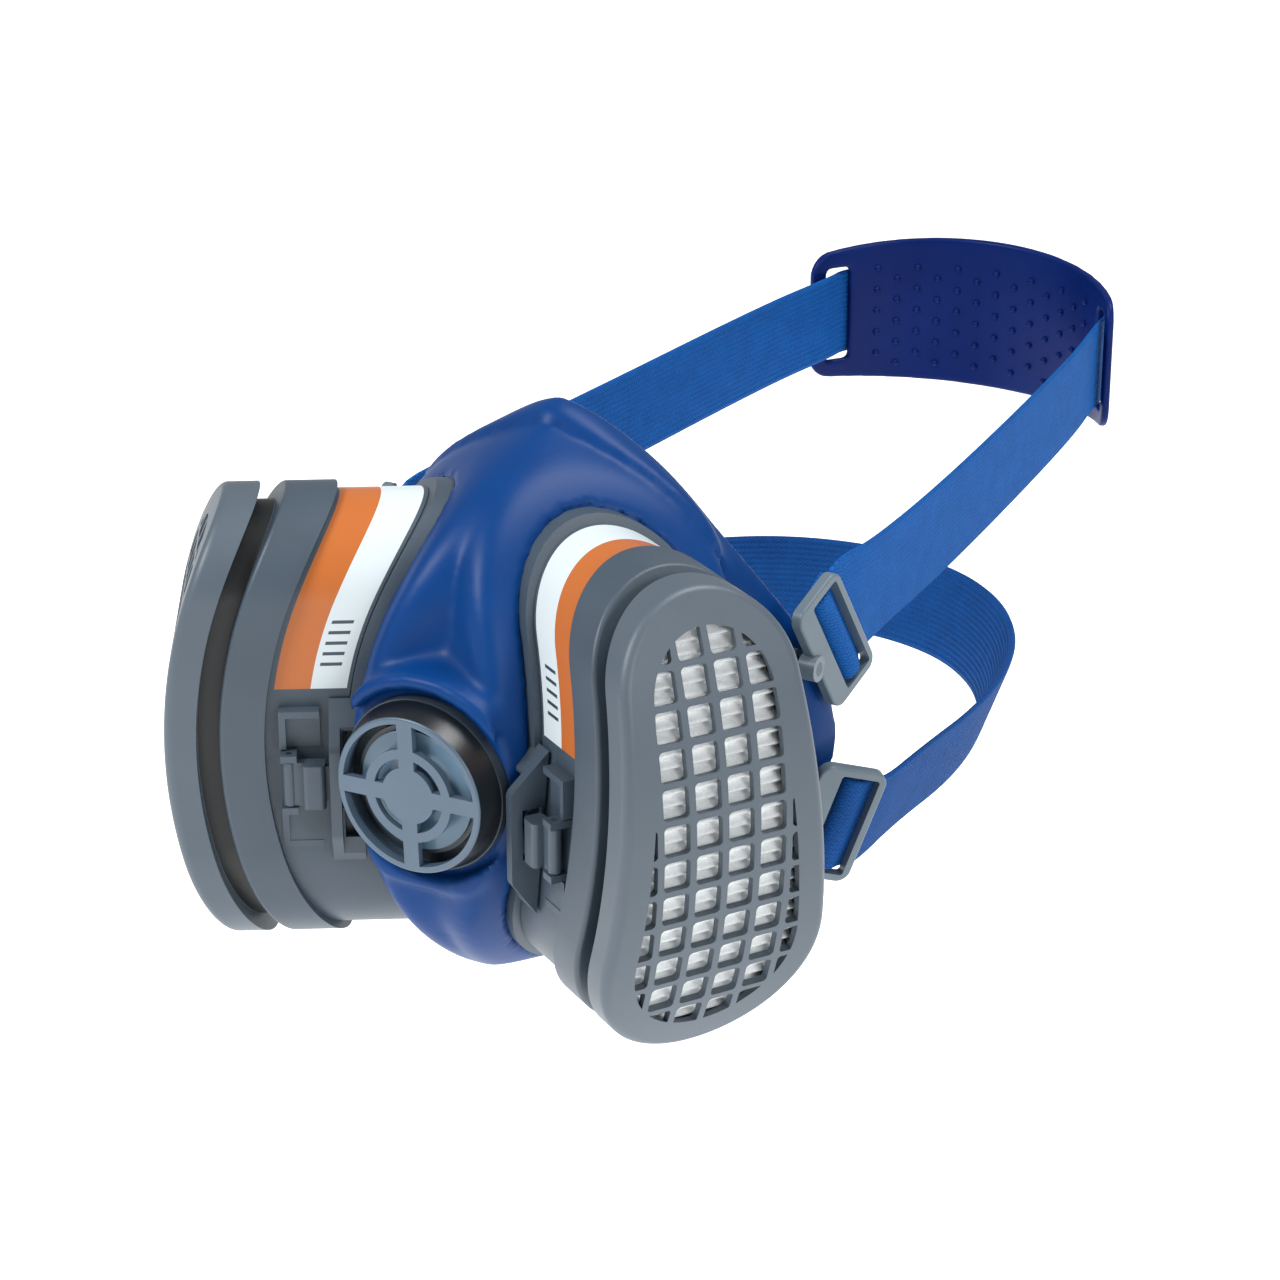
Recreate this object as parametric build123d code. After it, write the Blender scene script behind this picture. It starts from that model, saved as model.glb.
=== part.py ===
from build123d import *
from math import asin, cos, degrees, radians, sin
import os

# A half-mask respirator: a soft facepiece with a filter cartridge on each side, an exhalation
# valve in front, and a head harness and neck strap on four pivoting buckles.
# Frame: +Z up, the wearer looks along -Y, and the origin is the middle of the face seal.

# ---------------------------------------------------------------- driving dimensions, mm
WEBBING_WIDTH = 24.0
WEBBING_THICKNESS = 1.5

# Facepiece
WALL = 3.0
MASK_FRONT = -76.0
RING_STEPS = 24
NOSE_POWER = 1.45
CHIN_POWER = 0.95
PORT_POCKET = 14.0

# Station along Y, half width, widest height, top and bottom of each section, front to back
MASK_SECTIONS = [
    (-76.0, 19.0, -2.0, 22.0, -32.0),
    (-60.0, 28.0, -4.0, 40.0, -46.0),
    (-40.0, 40.0, -6.0, 57.0, -55.0),
    (-20.0, 51.0, -8.0, 68.0, -58.0),
    (8.0, 60.0, -8.0, 76.0, -60.0),
]
# Side view of the face seal: each point is (Y, Z), from above the nose to below the chin
SEAL_PROFILE = [(-26, 82), (-14, 71), (-2.5, 47), (5, -8), (2, -27), (-14, -42), (-40, -56), (-52, -66)]

# Filter cartridge: the middle of its face, and the angle it is turned from straight ahead
FACE_X = 71.0
FACE_Y = -73.0
FILTER_YAW = 58.0
FACE_BOW = 107.0
BOW_TIGHTENING = 0.69
LOWER_RADIUS = 27.0
LOWER_CENTRE = -26.5
UPPER_RADIUS = 21.5
UPPER_CENTRE = 32.0
CAP_DEPTH = 7.2
NECK_DEPTH = 12.2
RING_DEPTH = 22.2
BODY_DEPTH = 40.2
COLLAR_TOP = 40.4
COLLAR_DEPTH = 43.8
NECK_INSET = 4.0
BODY_INSET = 1.8
SHELL = 2.0
FIT = 0.05

LABEL_TOP = 23.6
LABEL_BOTTOM = 39.4
LABEL_THICKNESS = 0.3
LABEL_RECESS = 0.35

# Clip on the cartridge's front wall and the ledge on the collar that it holds
CLIP_FACE = -24.2
CLIP_Y = -6.5
CLIP_HEIGHT = 10.4
LEDGE_TOP = 36.6
LEDGE_BOTTOM = 39.0
LEDGE_EDGE = -31.7
LEDGE_SKIRT = -27.6
CLIP_PIN_RADIUS = 0.7
CLIP_PIVOT = (CLIP_FACE - 1.9, CLIP_Y, -27.5)
CLIP_BARREL_RADIUS = 1.5
EAR_WIDTH = 1.6
ARM_CLEARANCE = 0.4

# Grille
GRILLE_COLUMN = 7.75
GRILLE_ROW = 8.19
HOLE_WIDTH = 6.2
HOLE_HEIGHT = 6.84
GRILLE_INSET = 7.2
GRILLE_THICKNESS = 1.8
COLUMNS = 6
ROWS = 12
SMALLEST_HOLE = 30.0

# Port between cartridge and facepiece
PORT_SEAT = 42.6
PORT_PAD = 46.0
SPIGOT_RADIUS = 14.0
SPIGOT_BORE = 12.0
SPIGOT_END = 47.5
PORT_BORE = 15.0
PORT_NECK = 17.0
PORT_END = 54.0
GASKET_RADIUS = 19.0
GASKET_THICKNESS = 1.2
FLAP_RADIUS = 13.5
FLAP_THICKNESS = 0.6

# Exhalation valve
VALVE_BASE_RADIUS = 20.0
VALVE_FACE_RADIUS = 18.0
VALVE_FACE = -85.0
VALVE_HEIGHT = 0.0
VALVE_NECK_RADIUS = 15.0
VALVE_BORE = 13.0
SPOKE_WIDTH = 3.8

# Buckles, with the direction each one hangs in
BUCKLE_LENGTH = 17.0
BUCKLE_HEIGHT = 29.5
BUCKLE_THICKNESS = 2.6
BUCKLE_PLATE = 5.5
BUCKLE_RIM = 1.9
BUCKLE_BAR = 1.6
UPPER_BUCKLE = (59.6, 0.0, 17.0)
UPPER_LIE = (0.134, 0.885, 0.4475)
UPPER_UP = (-0.150, -0.428, 0.891)
LOWER_BUCKLE = (62.5, -3.5, -26.6)
LOWER_LIE = (0.650, 0.698, -0.299)
LOWER_UP = (0.297, 0.129, 0.9465)
BARREL_RADIUS = 3.0
STUD_RADIUS = 1.5
STUD_CLEARANCE = 0.05
BARREL_START = 56.0
BARREL_END = 60.2
ARM_MIDDLE = 53.2
ARM_THICKNESS = 2.5
ARM_HEIGHT = 7.0

# Straps and cradle
CRADLE_Y = 175.5
CRADLE_RADIUS = 50.5
CRADLE_THICKNESS = 2.2
CRADLE_HEIGHT = 43.0
CRADLE_END_HEIGHT = 35.5
CRADLE_HALF_ANGLE = 63.0
CRADLE_Z = 18.5
NECK_BANK = 20.0
STRAP_GAP = 0.3
ARC_START = 50.0
ARC_STEPS = 12
# Webbing inside a buckle: distance along the buckle towards the strap, and out from its middle
STRAP_IN_BUCKLE = [(-0.4, 0.8), (2.6, 0.8), (6.0, -2.5), (9.6, -2.8)]
# Head strap from the buckle to the inside of the cradle's slot, and neck strap to its middle
HEAD_ROUTE = [(56.6, 26.0, 19.3), (53.2, 80.0, 18.0), (45.6, 170.0, 18.4), (40.4, 201.2, CRADLE_Z)]
NECK_ROUTE = [(67, 28, -29), (67, 58, -31), (62.5, 86, -33), (54, 110, -35), (41, 130, -36.3),
              (23, 144, -37), (0, 149, -37.2)]
SLOT_ANGLE = 53.3
SLOT_WIDTH = 7.5

OUTPUT = "parts"
SIDES = {"right": 1, "left": -1}


# ---------------------------------------------------------------- filter frame and outlines
def filter_plane():
    """Local frame of the wearer's-left cartridge: x along the face, y up, z out of the face."""
    yaw = radians(FILTER_YAW)
    return Plane(origin=(FACE_X, FACE_Y, 0), x_dir=(cos(yaw), sin(yaw), 0), z_dir=(sin(yaw), -cos(yaw), 0))


def egg(inset=0.0):
    """Outline of the cartridge: two circles of different size, joined by their tangents."""
    lower = LOWER_RADIUS - inset
    upper = UPPER_RADIUS - inset
    lean = asin((LOWER_RADIUS - UPPER_RADIUS) / (UPPER_CENTRE - LOWER_CENTRE))
    side = Vector(cos(lean), sin(lean))
    low = Vector(lower * side.X, LOWER_CENTRE + lower * side.Y)
    high = Vector(upper * side.X, UPPER_CENTRE + upper * side.Y)
    low_left = Vector(-low.X, low.Y)
    high_left = Vector(-high.X, high.Y)
    outline = [
        Line(low, high),
        ThreePointArc(high, Vector(0, UPPER_CENTRE + upper), high_left),
        Line(high_left, low_left),
        ThreePointArc(low_left, Vector(0, LOWER_CENTRE - lower), low),
    ]
    return make_face(Wire(outline))


def roll(depth):
    """The solid cylinder whose surface is the bowed layer at this depth below the face."""
    radius = FACE_BOW - BOW_TIGHTENING * depth
    return Pos(0, 0, -depth - radius) * Rot(0, 90, 0) * Cylinder(radius, 90)


def bowed_slab(outline, top, bottom):
    """A prism of the outline between the bowed surfaces at two depths."""
    prism = Pos(0, 0, -bottom - 32) * extrude(outline, amount=bottom - top + 34)
    return (prism & roll(top)) - roll(bottom)


def disc(radius, top, bottom, hole=0.0):
    """A round plate or tube on the port's axis, between two depths."""
    plate = Pos(0, 0, -(top + bottom) / 2) * Cylinder(radius, bottom - top)
    if hole:
        plate -= Pos(0, 0, -(top + bottom) / 2) * Cylinder(hole, bottom - top + 1)
    return plate


# ---------------------------------------------------------------- cartridge
def grille_holes():
    """Rectangular windows on a bowed grid, clipped by the egg outline."""
    field = Pos(0, 0, -40) * extrude(egg(GRILLE_INSET), amount=50)
    window = extrude(fillet(Rectangle(HOLE_WIDTH, HOLE_HEIGHT).vertices(), 1.0), amount=8)
    holes = []
    for row in range(ROWS):
        turn = degrees((row - (ROWS - 1) / 2) * GRILLE_ROW / FACE_BOW)
        for column in range(COLUMNS):
            across = (column - (COLUMNS - 1) / 2) * GRILLE_COLUMN
            place = Pos(0, 0, -FACE_BOW) * Rot(-turn, 0, 0) * Pos(across, 0, FACE_BOW - 5)
            hole = (place * window) & field
            if hole and hole.volume > SMALLEST_HOLE:
                holes.append(hole)
    return holes


def filter_cap():
    """Grille cover: a rounded plate with a narrower neck behind it, hollow for the media."""
    plate = bowed_slab(egg(), 0, CAP_DEPTH)
    face = plate.faces().sort_by(Axis.Z)[-1]
    plate = fillet(face.edges(), 2.2)
    neck = bowed_slab(egg(NECK_INSET), CAP_DEPTH - 0.5, NECK_DEPTH)
    cap = plate + neck
    cap -= bowed_slab(egg(NECK_INSET + SHELL), GRILLE_THICKNESS, NECK_DEPTH + 1)
    for hole in grille_holes():
        cap -= hole
    return cap


def pleated_media():
    """Particle filter pack, held between the grille and the media ring."""
    return bowed_slab(egg(NECK_INSET + SHELL + 0.3), GRILLE_THICKNESS + 0.6, NECK_DEPTH - 0.3)


def media_ring():
    """Wide ring that joins the cap to the cartridge body."""
    ring = bowed_slab(egg(), NECK_DEPTH + FIT, RING_DEPTH)
    ring = fillet(ring.faces().sort_by(Axis.Z)[-1].edges(), 1.0)
    return ring - bowed_slab(egg(NECK_INSET + SHELL), NECK_DEPTH - 1, RING_DEPTH + 1)


def screen(top, bottom):
    """Perforated plate that holds the carbon granules."""
    plate = bowed_slab(egg(BODY_INSET + SHELL + 0.4), top, bottom)
    for row in range(-4, 5):
        for column in range(-2, 3):
            plate -= Pos(column * 7.5, row * 9.5 - 2, -35) * Cylinder(1.6, 60)
    return plate


def carbon_bed():
    """Activated carbon granules, as one packed volume."""
    return bowed_slab(egg(BODY_INSET + SHELL + 0.4), 24.4, 36.2)


def cartridge_body():
    """Cup that holds the carbon, with a spigot that enters the facepiece port."""
    body = bowed_slab(egg(BODY_INSET), RING_DEPTH + FIT, BODY_DEPTH)
    for side in (-1, 1):
        body += clip_rib(side)
        body += clip_ear(side)
    gasket_face = PORT_SEAT - GASKET_THICKNESS
    body += disc(GASKET_RADIUS, BODY_DEPTH - 2, gasket_face)
    body += disc(SPIGOT_RADIUS, BODY_DEPTH - 2, SPIGOT_END)
    body -= disc(GASKET_RADIUS + 0.3, gasket_face, gasket_face + 6, SPIGOT_RADIUS)
    body -= bowed_slab(egg(BODY_INSET + SHELL), RING_DEPTH - 1, BODY_DEPTH - SHELL)
    body -= disc(SPIGOT_BORE, BODY_DEPTH - 3, SPIGOT_END + 1)
    return body - label_band(LABEL_RECESS)


def label_band(thickness):
    """The thin band round the front and top of the body that carries the printed label."""
    outer = bowed_slab(egg(BODY_INSET), LABEL_TOP, LABEL_BOTTOM)
    inner = bowed_slab(egg(BODY_INSET + thickness), LABEL_TOP - 1, LABEL_BOTTOM + 1)
    span = Pos(-10, 14 + 40, -40) * Box(52, 80, 90)
    return (outer - inner) & span


# ---------------------------------------------------------------- clip and collar
def clip_rib(side):
    """One C-shaped rib on the body wall beside the clip."""
    rib = Pos(CLIP_FACE + 0.7, CLIP_Y + side * 12, -30) * Box(3.0, 9.0, 9.0)
    return rib - Pos(CLIP_FACE - 2.0, CLIP_Y + side * 10.4, -31.5) * Box(6.0, 9.0, 9.0)


def clip_ear(side):
    """One of the two small ears on the body wall that hold the clip's pin."""
    beside = CLIP_Y + side * (CLIP_HEIGHT / 2 + 1.1)
    ear = Pos(CLIP_FACE - 0.7, beside, CLIP_PIVOT[2]) * Box(6.0, EAR_WIDTH, 3.6)
    return ear - clip_pin()


def clip_pin():
    """Pin the clip turns on, held in the two ears."""
    return Pos(*CLIP_PIVOT) * Rot(90, 0, 0) * Cylinder(CLIP_PIN_RADIUS, CLIP_HEIGHT + 3.8)


def clip():
    """Sprung clip: a pivoted block whose foot drops through the ledge's window."""
    lever = Pos(CLIP_FACE - 1.9, CLIP_Y, -31.0) * Box(2.2, CLIP_HEIGHT, 7.0)
    block = Pos(CLIP_FACE - 3.2, CLIP_Y, -33.0) * Box(4.4, CLIP_HEIGHT, 5.0)
    block = fillet(block.edges().filter_by(Axis.Y).group_by(Axis.X)[0], 1.2)
    foot = Pos(CLIP_FACE - 2.2, CLIP_Y, -37.0) * Box(1.6, CLIP_HEIGHT - 2.0, 4.0)
    barrel = Pos(*CLIP_PIVOT) * Rot(90, 0, 0) * Cylinder(CLIP_BARREL_RADIUS, CLIP_HEIGHT)
    bore = Pos(*CLIP_PIVOT) * Rot(90, 0, 0) * Cylinder(CLIP_PIN_RADIUS + FIT, 30)
    return lever + block + foot + barrel - bore


def ledge():
    """Trapezoidal ledge on the collar's front edge, notched for the clip's foot."""
    outline = Polygon((-22.4, 12), (LEDGE_EDGE, 3.6), (LEDGE_EDGE, -17.7), (-25.9, -26), align=None)
    plate = Pos(0, 0, -LEDGE_BOTTOM) * extrude(outline, amount=LEDGE_BOTTOM - LEDGE_TOP)
    plate = fillet(plate.edges().filter_by(Axis.Z).group_by(Axis.X)[0], 2.5)
    skirt = Pos(0, 0, -COLLAR_DEPTH) * extrude(outline, amount=COLLAR_DEPTH - LEDGE_BOTTOM)
    skirt -= Pos(LEDGE_SKIRT - 10, -7, -42) * Box(20, 60, 10)
    skirt -= Pos(LEDGE_SKIRT + 5, CLIP_Y, -42) * Box(20, 26, 5)
    notch = Pos(CLIP_FACE - 0.5, CLIP_Y, -37) * Box(8.6, CLIP_HEIGHT + 1.4, 6)
    return plate + skirt - notch


def collar():
    """Grey collar on the facepiece: bowed plate, port neck, clip ledge and the two strap arms."""
    plate = bowed_slab(egg(), COLLAR_TOP, COLLAR_DEPTH)
    plate -= disc(GASKET_RADIUS + 0.3, PORT_SEAT - 6, PORT_SEAT)
    plate += disc(GASKET_RADIUS + 0.3, PORT_SEAT, PORT_PAD)
    plate += disc(PORT_NECK, PORT_SEAT, PORT_END)
    plate -= disc(PORT_BORE, PORT_SEAT - 3, PORT_END + 1)
    return plate + ledge()


def port_gasket():
    """Flat rubber ring between the cartridge and the collar."""
    return disc(GASKET_RADIUS, PORT_SEAT - GASKET_THICKNESS, PORT_SEAT, SPIGOT_RADIUS + 0.6)


def spoked_seat(radius, top, bottom, stem_hole):
    """Valve seat: a ring, a hub and four spokes."""
    seat = disc(radius, top, bottom)
    seat -= disc(radius - 2.0, top - 1, bottom + 1, 3.6)
    for turn in (0, 90):
        spoke = Pos(0, 0, -(top + bottom) / 2) * Box(2 * radius - 2, 1.6, bottom - top)
        seat += Rot(0, 0, turn + 45) * spoke
    return seat - Pos(0, 0, -(top + bottom) / 2) * Cylinder(stem_hole, bottom - top + 2)


def valve_flap(radius, seat_top, seat_bottom, front_side):
    """Thin silicone disc with a stem that runs through the seat's hub."""
    if front_side:
        plate = disc(radius, seat_top - FLAP_THICKNESS - 0.05, seat_top - 0.05)
        stem = disc(1.4, seat_top - FLAP_THICKNESS, seat_bottom + 3.2)
        return plate + stem + disc(2.2, seat_bottom + 2.2, seat_bottom + 3.4)
    plate = disc(radius, seat_bottom + 0.05, seat_bottom + 0.05 + FLAP_THICKNESS)
    stem = disc(1.4, seat_top - 3.2, seat_bottom + FLAP_THICKNESS)
    return plate + stem + disc(2.2, seat_top - 3.4, seat_top - 2.2)


# ---------------------------------------------------------------- facepiece
def mask_outline(half_width, middle, top, bottom):
    """Rounded-triangle section: a narrow nose above the widest height, a fuller chin below."""
    points = []
    for step in range(RING_STEPS):
        angle = radians(90 - 360 * step / RING_STEPS)
        power = NOSE_POWER if sin(angle) > 0 else CHIN_POWER
        across = half_width * abs(cos(angle)) ** power
        across = across if cos(angle) > 0 else -across
        reach = (top - middle) if sin(angle) > 0 else (middle - bottom)
        height = reach * abs(sin(angle)) ** power
        points.append((across, middle + height if sin(angle) > 0 else middle - height))
    return points


def mask_ring(station, wall):
    """Corner points of one section, drawn in by the wall."""
    place, half_width, middle, top, bottom = station
    outline = mask_outline(half_width - wall, middle, top - wall * 1.3, bottom + wall)
    return [Vector(x, place, z) for x, z in outline]


def flat_shell(rings):
    """Closed solid through a row of rings: flat ends, and two triangles for each side panel."""
    faces = [Face(Wire(Polyline(*ring, close=True).edges())) for ring in (rings[0], rings[-1])]
    for near, far in zip(rings, rings[1:]):
        for index, start in enumerate(near):
            after = (index + 1) % len(near)
            for corners in ((start, near[after], far[after]), (start, far[after], far[index])):
                faces.append(Face(Wire(Polyline(*corners, close=True).edges())))
    return Solid(Shell(faces))


def seal_cutter():
    """Everything behind the face seal, as a prism across the mask."""
    outline = [(0, y, z) for y, z in SEAL_PROFILE]
    outline += [(0, 60, SEAL_PROFILE[-1][1]), (0, 60, SEAL_PROFILE[0][1])]
    profile = Face(Wire(Polyline(*outline, close=True).edges()))
    return extrude(profile, amount=90, dir=(1, 0, 0), both=True)


def facepiece(arms):
    """Hollow elastomer shell, open at the face seal, with holes for the valve and both ports."""
    outer = flat_shell([mask_ring(station, 0) for station in MASK_SECTIONS])
    hollow = [(MASK_FRONT + WALL,) + MASK_SECTIONS[0][1:]] + MASK_SECTIONS[1:-1]
    hollow.append((MASK_SECTIONS[-1][0] + 1,) + MASK_SECTIONS[-1][1:])
    inner = flat_shell([mask_ring(station, WALL) for station in hollow])
    shell = outer
    for side in SIDES:
        shell += placed(disc(GASKET_RADIUS + 4, COLLAR_DEPTH, PORT_PAD + 4), side)
    shell -= inner
    shell -= seal_cutter()
    for side in SIDES:
        shell -= placed(bowed_slab(egg(-9), COLLAR_DEPTH - PORT_POCKET, COLLAR_DEPTH), side)
        shell -= placed(disc(PORT_NECK + 0.1, COLLAR_DEPTH - 4, PORT_END + 12), side)
        shell -= placed(disc(GASKET_RADIUS + 0.4, COLLAR_DEPTH - 4, PORT_PAD), side)
    shell -= Pos(0, MASK_FRONT, VALVE_HEIGHT) * Rot(90, 0, 0) * Cylinder(VALVE_NECK_RADIUS + 0.1, 20)
    for arm in arms:
        shell -= arm
    return shell


def placed(shape, side):
    """Move a shape from the cartridge's frame to its side of the mask."""
    moved = filter_plane().location * shape
    return moved if SIDES[side] > 0 else mirror(moved, about=Plane.YZ)


def mirrored(shape, side):
    return shape if SIDES[side] > 0 else mirror(shape, about=Plane.YZ)


# ---------------------------------------------------------------- exhalation valve
def along_valve(shape):
    """Turn a shape modelled with its face at z=0 so that it faces forward at the valve."""
    return Pos(0, VALVE_FACE, VALVE_HEIGHT) * Rot(90, 0, 0) * shape


def valve_base():
    """Ring on the facepiece with a neck through its wall and a spoked seat for the diaphragm."""
    base = disc(VALVE_BASE_RADIUS, 6.4, 9.0)
    base += disc(VALVE_NECK_RADIUS, 4.2, 14.0)
    base -= disc(VALVE_BORE, 3, 15)
    base += spoked_seat(VALVE_BORE + 0.4, 4.4, 6.0, 1.5)
    return base


def valve_diaphragm():
    """Thin clear disc that lifts off the seat when the wearer breathes out."""
    return valve_flap(VALVE_BORE + 0.9, 4.2, 6.0, True)


def valve_cover():
    """Cup with a hub, a ring and four spokes that protects the diaphragm."""
    cup = Pos(0, 0, -3.1) * Cone(VALVE_BASE_RADIUS - 0.3, VALVE_FACE_RADIUS, 6.2)
    cup = fillet(cup.faces().sort_by(Axis.Z)[-1].edges(), 0.6)
    inner = Pos(0, 0, -4.1) * Cone(VALVE_BASE_RADIUS - 2.0, VALVE_FACE_RADIUS - 1.6, 5.2)
    cup -= inner
    openings = disc(VALVE_FACE_RADIUS - 1.4, -1, 4, VALVE_FACE_RADIUS * 0.60)
    openings += disc(VALVE_FACE_RADIUS * 0.48, -1, 4, VALVE_FACE_RADIUS * 0.36)
    for turn in (0, 90):
        openings -= Rot(0, 0, turn + 2) * Pos(0, 0, -1.5) * Box(2 * VALVE_FACE_RADIUS, SPOKE_WIDTH, 8)
    return cup - openings


# ---------------------------------------------------------------- harness
def buckle_plane(origin, lie, up):
    """Local frame of a buckle: x towards the strap, y up its bars, z outwards."""
    along = Vector(*lie).normalized()
    normal = along.cross(Vector(*up).normalized()).normalized()
    return Plane(origin=origin, x_dir=along, z_dir=normal)


def buckle_pivot(origin, lie):
    """Where the buckle's barrel turns: beside the frame's mask-side edge."""
    centre = Vector(*origin) - Vector(*lie).normalized() * (BUCKLE_LENGTH / 2 + 0.6)
    return Vector(0, centre.Y, centre.Z)


def buckle(origin, lie, up):
    """Rounded frame with a window, a bar the webbing turns round, and a pivot barrel."""
    outline = fillet(Rectangle(BUCKLE_LENGTH, BUCKLE_HEIGHT).vertices(), 3.2)
    frame = extrude(outline, amount=BUCKLE_THICKNESS / 2, both=True)
    window_length = BUCKLE_LENGTH - BUCKLE_PLATE - BUCKLE_RIM
    window_x = (BUCKLE_PLATE - BUCKLE_RIM) / 2
    opening = fillet(Rectangle(window_length, WEBBING_WIDTH + 1.6).vertices(), 0.8)
    window = extrude(opening, amount=4, both=True)
    frame = fillet(frame.edges().group_by(Axis.Z)[-1], 0.6)
    frame -= Pos(window_x, 0, 0) * window
    frame += Pos(window_x - 0.6, 0, -0.7) * Box(BUCKLE_BAR, WEBBING_WIDTH + 3, 1.1)
    place = buckle_plane(origin, lie, up).location
    pivot = buckle_pivot(origin, lie)
    length = BARREL_END - BARREL_START
    middle = (BARREL_END + BARREL_START) / 2
    barrel = Pos(middle, pivot.Y, pivot.Z) * Rot(0, 90, 0) * Cylinder(BARREL_RADIUS, length)
    bore = Pos(60, pivot.Y, pivot.Z) * Rot(0, 90, 0) * Cylinder(STUD_RADIUS + STUD_CLEARANCE, 30)
    return place * frame + barrel - bore


def strap_arm(origin, lie):
    """Arm from the collar's rear edge to one buckle, with the stud the buckle turns on."""
    pivot = buckle_pivot(origin, lie)
    start = Vector(44.0, -31.0)
    bend = Vector(ARM_MIDDLE, -19.0)
    tip = Vector(ARM_MIDDLE, pivot.Y)
    path = FilletPolyline(start, bend, tip, radius=4)
    arm = Pos(0, 0, pivot.Z - ARM_HEIGHT / 2) * extrude(trace(path, ARM_THICKNESS), amount=ARM_HEIGHT)
    arm += Pos(ARM_MIDDLE, pivot.Y, pivot.Z) * Rot(0, 90, 0) * Cylinder(ARM_HEIGHT / 2, ARM_THICKNESS)
    arm -= placed(bowed_slab(egg(-ARM_CLEARANCE), NECK_DEPTH, COLLAR_TOP), "right")
    stud_middle = (ARM_MIDDLE + BARREL_END) / 2
    stud_length = BARREL_END - ARM_MIDDLE
    return arm + Pos(stud_middle, pivot.Y, pivot.Z) * Rot(0, 90, 0) * Cylinder(STUD_RADIUS, stud_length)


def webbing(stations):
    """Flat webbing through stations, each a point and the direction across its width."""
    points = [point for point, across in stations]
    faces = []
    for index, (point, across) in enumerate(stations):
        ahead = points[min(index + 1, len(points) - 1)] - points[max(index - 1, 0)]
        plane = Plane(origin=point, x_dir=ahead.cross(across).normalized(), z_dir=ahead.normalized())
        faces.append(plane.location * Rectangle(WEBBING_THICKNESS, WEBBING_WIDTH))
    return loft(faces, ruled=True)


def both_sides(right, middle):
    """The right half of a route, its middle, and the right half mirrored to the left."""
    left = []
    for point, across in reversed(right):
        left.append((Vector(-point.X, point.Y, point.Z), Vector(-across.X, across.Y, across.Z)))
    return right + middle + left


def through_buckle(data):
    """Stations that take the webbing over the buckle's bar and out behind its rim."""
    plane = buckle_plane(*data)
    stations = []
    for along, out in STRAP_IN_BUCKLE:
        stations.append((plane.origin + plane.x_dir * along + plane.z_dir * out, plane.y_dir))
    return stations


def head_strap():
    """One elastic strap: buckle, cradle slot, round behind the cradle, slot, other buckle."""
    outer = CRADLE_RADIUS + CRADLE_THICKNESS / 2 + STRAP_GAP + WEBBING_THICKNESS / 2
    upright = Vector(0, 0, 1)
    right = through_buckle((UPPER_BUCKLE, UPPER_LIE, UPPER_UP))
    right += [(Vector(*point), upright) for point in HEAD_ROUTE]
    arc = []
    for step in range(ARC_STEPS + 1):
        angle = radians(ARC_START - 2 * ARC_START * step / ARC_STEPS)
        arc.append((Vector(outer * sin(angle), CRADLE_Y + outer * cos(angle), CRADLE_Z), upright))
    return webbing(both_sides(right, arc))


def neck_strap():
    """Elastic strap behind the neck, from one lower buckle to the other, leaning inwards."""
    bank = radians(NECK_BANK)
    points = [Vector(*point) for point in NECK_ROUTE]
    right = through_buckle((LOWER_BUCKLE, LOWER_LIE, LOWER_UP))
    for index, point in enumerate(points[:-1]):
        ahead = points[index + 1] - points[max(index - 1, 0)]
        outward = ahead.cross(Vector(0, 0, 1)).normalized()
        right.append((point, Vector(0, 0, 1) * cos(bank) + outward * sin(bank)))
    middle = [(points[-1], Vector(0, sin(bank), cos(bank)))]
    return webbing(both_sides(right, middle))


def head_cradle():
    """Curved band behind the head, taller in the middle, with a slot near each end."""
    inner = CRADLE_RADIUS - CRADLE_THICKNESS / 2
    ring = Pos(0, CRADLE_Y, CRADLE_Z) * Cylinder(CRADLE_RADIUS + CRADLE_THICKNESS / 2, CRADLE_HEIGHT)
    ring -= Pos(0, CRADLE_Y, CRADLE_Z) * Cylinder(inner, CRADLE_HEIGHT + 2)
    half = CRADLE_RADIUS * sin(radians(CRADLE_HALF_ANGLE))
    end = CRADLE_END_HEIGHT / 2
    middle = CRADLE_HEIGHT / 2
    upper = ThreePointArc((-half, end), (0, middle), (half, end))
    lower = ThreePointArc((half, -end), (0, -middle), (-half, -end))
    sides = [Line((half, end), (half, -end)), Line((-half, -end), (-half, end))]
    outline = make_face(Wire([upper, sides[0], lower, sides[1]]))
    outline = fillet(outline.vertices(), 6)
    front = Plane(origin=(0, CRADLE_Y + 20, CRADLE_Z), x_dir=(1, 0, 0), z_dir=(0, -1, 0))
    window = extrude(front.location * outline, amount=-60)
    band = ring & window
    for side in (-1, 1):
        opening = fillet(Rectangle(SLOT_WIDTH, WEBBING_WIDTH + 3).vertices(), 1.5)
        slot = extrude(opening, amount=12, both=True)
        turn = Rot(0, 0, -side * SLOT_ANGLE)
        band -= Pos(0, CRADLE_Y, CRADLE_Z) * turn * Pos(0, CRADLE_RADIUS, 0) * Rot(90, 0, 0) * slot
    return band


# ---------------------------------------------------------------- assembly
def write(name, shape):
    export_step(shape, os.path.join(OUTPUT, name + ".step"))


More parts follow.
